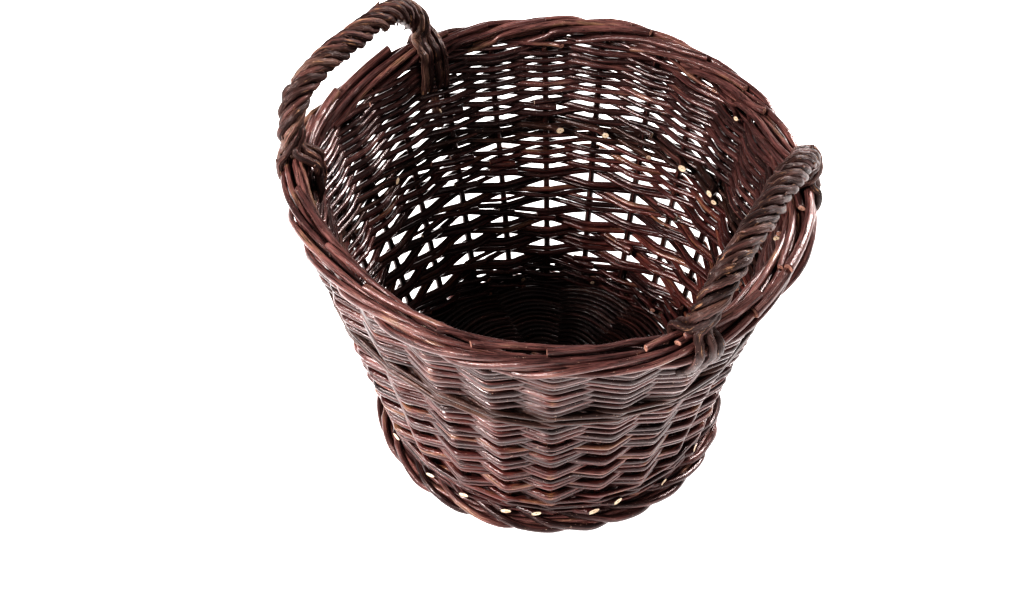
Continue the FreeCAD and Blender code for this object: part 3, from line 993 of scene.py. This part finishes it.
for number, node in enumerate(STAKES):
    piece(node.replace("stake", "stake_rod"), stake(number), (stake_bark, cut_face), "stake_rod", node)
piece("foot_border_rods", foot_border(), (border_bark, cut_face), "foot_rod", "foot_border")
piece("upset_wale_rods", upset_wale(), (weaver_bark, cut_face), "wale_rod", "upset_wale")
piece("lower_siding_rods", lower_siding(), (weaver_bark, cut_face), "siding_rod", "lower_siding")
piece("mid_wale_rods", mid_wale(), (wale_bark, cut_face), "wale_rod", "mid_wale")
piece("upper_siding_rods", upper_siding(), (upper_bark_with_painted_light, cut_face), "siding_rod", "upper_siding")
piece("top_wale_rods", wale("top_wale", 1, TOP_WALE_ROD), (upper_bark_with_painted_light, cut_face), "wale_rod", "top_wale")
piece("border_rods", border(), (border_bark, cut_face), "border_rod", "border")
piece("base_weave_rods", base_weave(), (base_bark_with_painted_shade, cut_face), "base_rod", "base_weave")
for name, side in (("right", 1), ("left", -1)):
    bow_node = name + "_handle_bow"
    piece(bow_node + "_rod", handle_bow(side), (handle_bark, cut_face), "handle_rod", bow_node)
    rope_nodes = [name + "_handle_" + part for part in ("rope", "front_lashing", "back_lashing")]
    strands = rope_strands(side)
    piece(name + "_handle_strands", strands, (handle_bark, cut_face), "handle_rod", *rope_nodes)
# The base sticks share the base's dark bark, partly painted shade.
for node in BASE_STICKS:
    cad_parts[node].data.materials.clear()
    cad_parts[node].data.materials.append(base_bark_with_painted_shade)


# Floor, light and camera

def paper(size):
    """A white sheet on the floor that glows, except under the basket, where the glow fades out as a painted
    contact shadow.
    """
    mesh = bpy.data.meshes.new("floor")
    corners = [(-size, -size, 0), (size, -size, 0), (size, size, 0), (-size, size, 0)]
    mesh.from_pydata(corners, [], [(0, 1, 2, 3)])
    floor = bpy.data.objects.new("floor", mesh)
    bpy.context.scene.collection.objects.link(floor)
    sheet = Shader("white_paper")
    sheet.put(sheet.surface.inputs["Base Color"], (0.8, 0.8, 0.8, 1))
    sheet.put(sheet.surface.inputs["Roughness"], 0.9)
    sheet.put(sheet.surface.inputs["Specular IOR Level"], 0.1)
    sheet.put(sheet.surface.inputs["Emission Color"], (1, 1, 1, 1))
    place = sheet.add("ShaderNodeNewGeometry").outputs["Position"]
    distance = sheet.add("ShaderNodeVectorMath", {0: place}, operation="LENGTH").outputs["Value"]
    # The glow fades out under the basket's foot: a painted contact shadow.
    glow_outside_painted_shadow = sheet.between(distance, FOOT_RADIUS - 40 * MM, FOOT_RADIUS - 10 * MM)
    sheet.put(sheet.surface.inputs["Emission Strength"], sheet.math("MULTIPLY", glow_outside_painted_shadow, 0.95))
    mesh.materials.append(sheet.material)


def softbox(name, place, power):
    """A soft square light that faces the basket."""
    lamp = bpy.data.lights.new(name, "AREA")
    lamp.shape = "SQUARE"
    lamp.size = 0.5
    lamp.energy = power
    holder = bpy.data.objects.new(name, lamp)
    holder.location = place
    to_basket = Vector((0, 0, 0.2)) - holder.location
    holder.rotation_euler = to_basket.to_track_quat("-Z", "Y").to_euler()
    bpy.context.scene.collection.objects.link(holder)


def studio():
    paper(30.0)
    world = bpy.data.worlds.new("studio")
    world.use_nodes = True
    background = world.node_tree.nodes["Background"]
    background.inputs["Color"].default_value = (1, 1, 1, 1)
    background.inputs["Strength"].default_value = 0.24
    bpy.context.scene.world = world
    softbox("key", (-0.88, -1.33, 1.45), 64.0)
    softbox("fill", (1.6, -1.0, 0.9), 6.0)
    softbox("back", (0.5, 1.7, 1.5), 60.0)
    bpy.context.scene.view_settings.view_transform = "Standard"
    bpy.context.scene.view_settings.look = "High Contrast"


def camera():
    """A camera in front and above, a little to the right of the handles' middle line."""
    turn = math.radians(31.0)
    pitch = math.radians(44.515)
    roll = math.radians(1.10)
    distance, aside, height = 0.9104, -0.0360, 1.0367
    right = np.array([math.cos(turn), math.sin(turn), 0])
    ahead = np.array([-math.sin(turn), math.cos(turn), 0])
    place = aside * right - distance * ahead + np.array([0, 0, height])
    view = math.cos(pitch) * ahead - math.sin(pitch) * np.array([0, 0, 1])
    up = np.cross(right, view)
    rolled_right = math.cos(roll) * right - math.sin(roll) * up
    rolled_up = math.sin(roll) * right + math.cos(roll) * up
    lens = bpy.data.cameras.new("camera")
    lens.sensor_width = 36.0
    lens.lens = 47.36
    holder = bpy.data.objects.new("camera", lens)
    matrix = np.eye(4)
    matrix[:3, 0] = rolled_right
    matrix[:3, 1] = rolled_up
    matrix[:3, 2] = -view
    matrix[:3, 3] = place
    holder.matrix_world = Matrix(matrix.tolist())
    bpy.context.scene.collection.objects.link(holder)
    bpy.context.scene.camera = holder


studio()
camera()
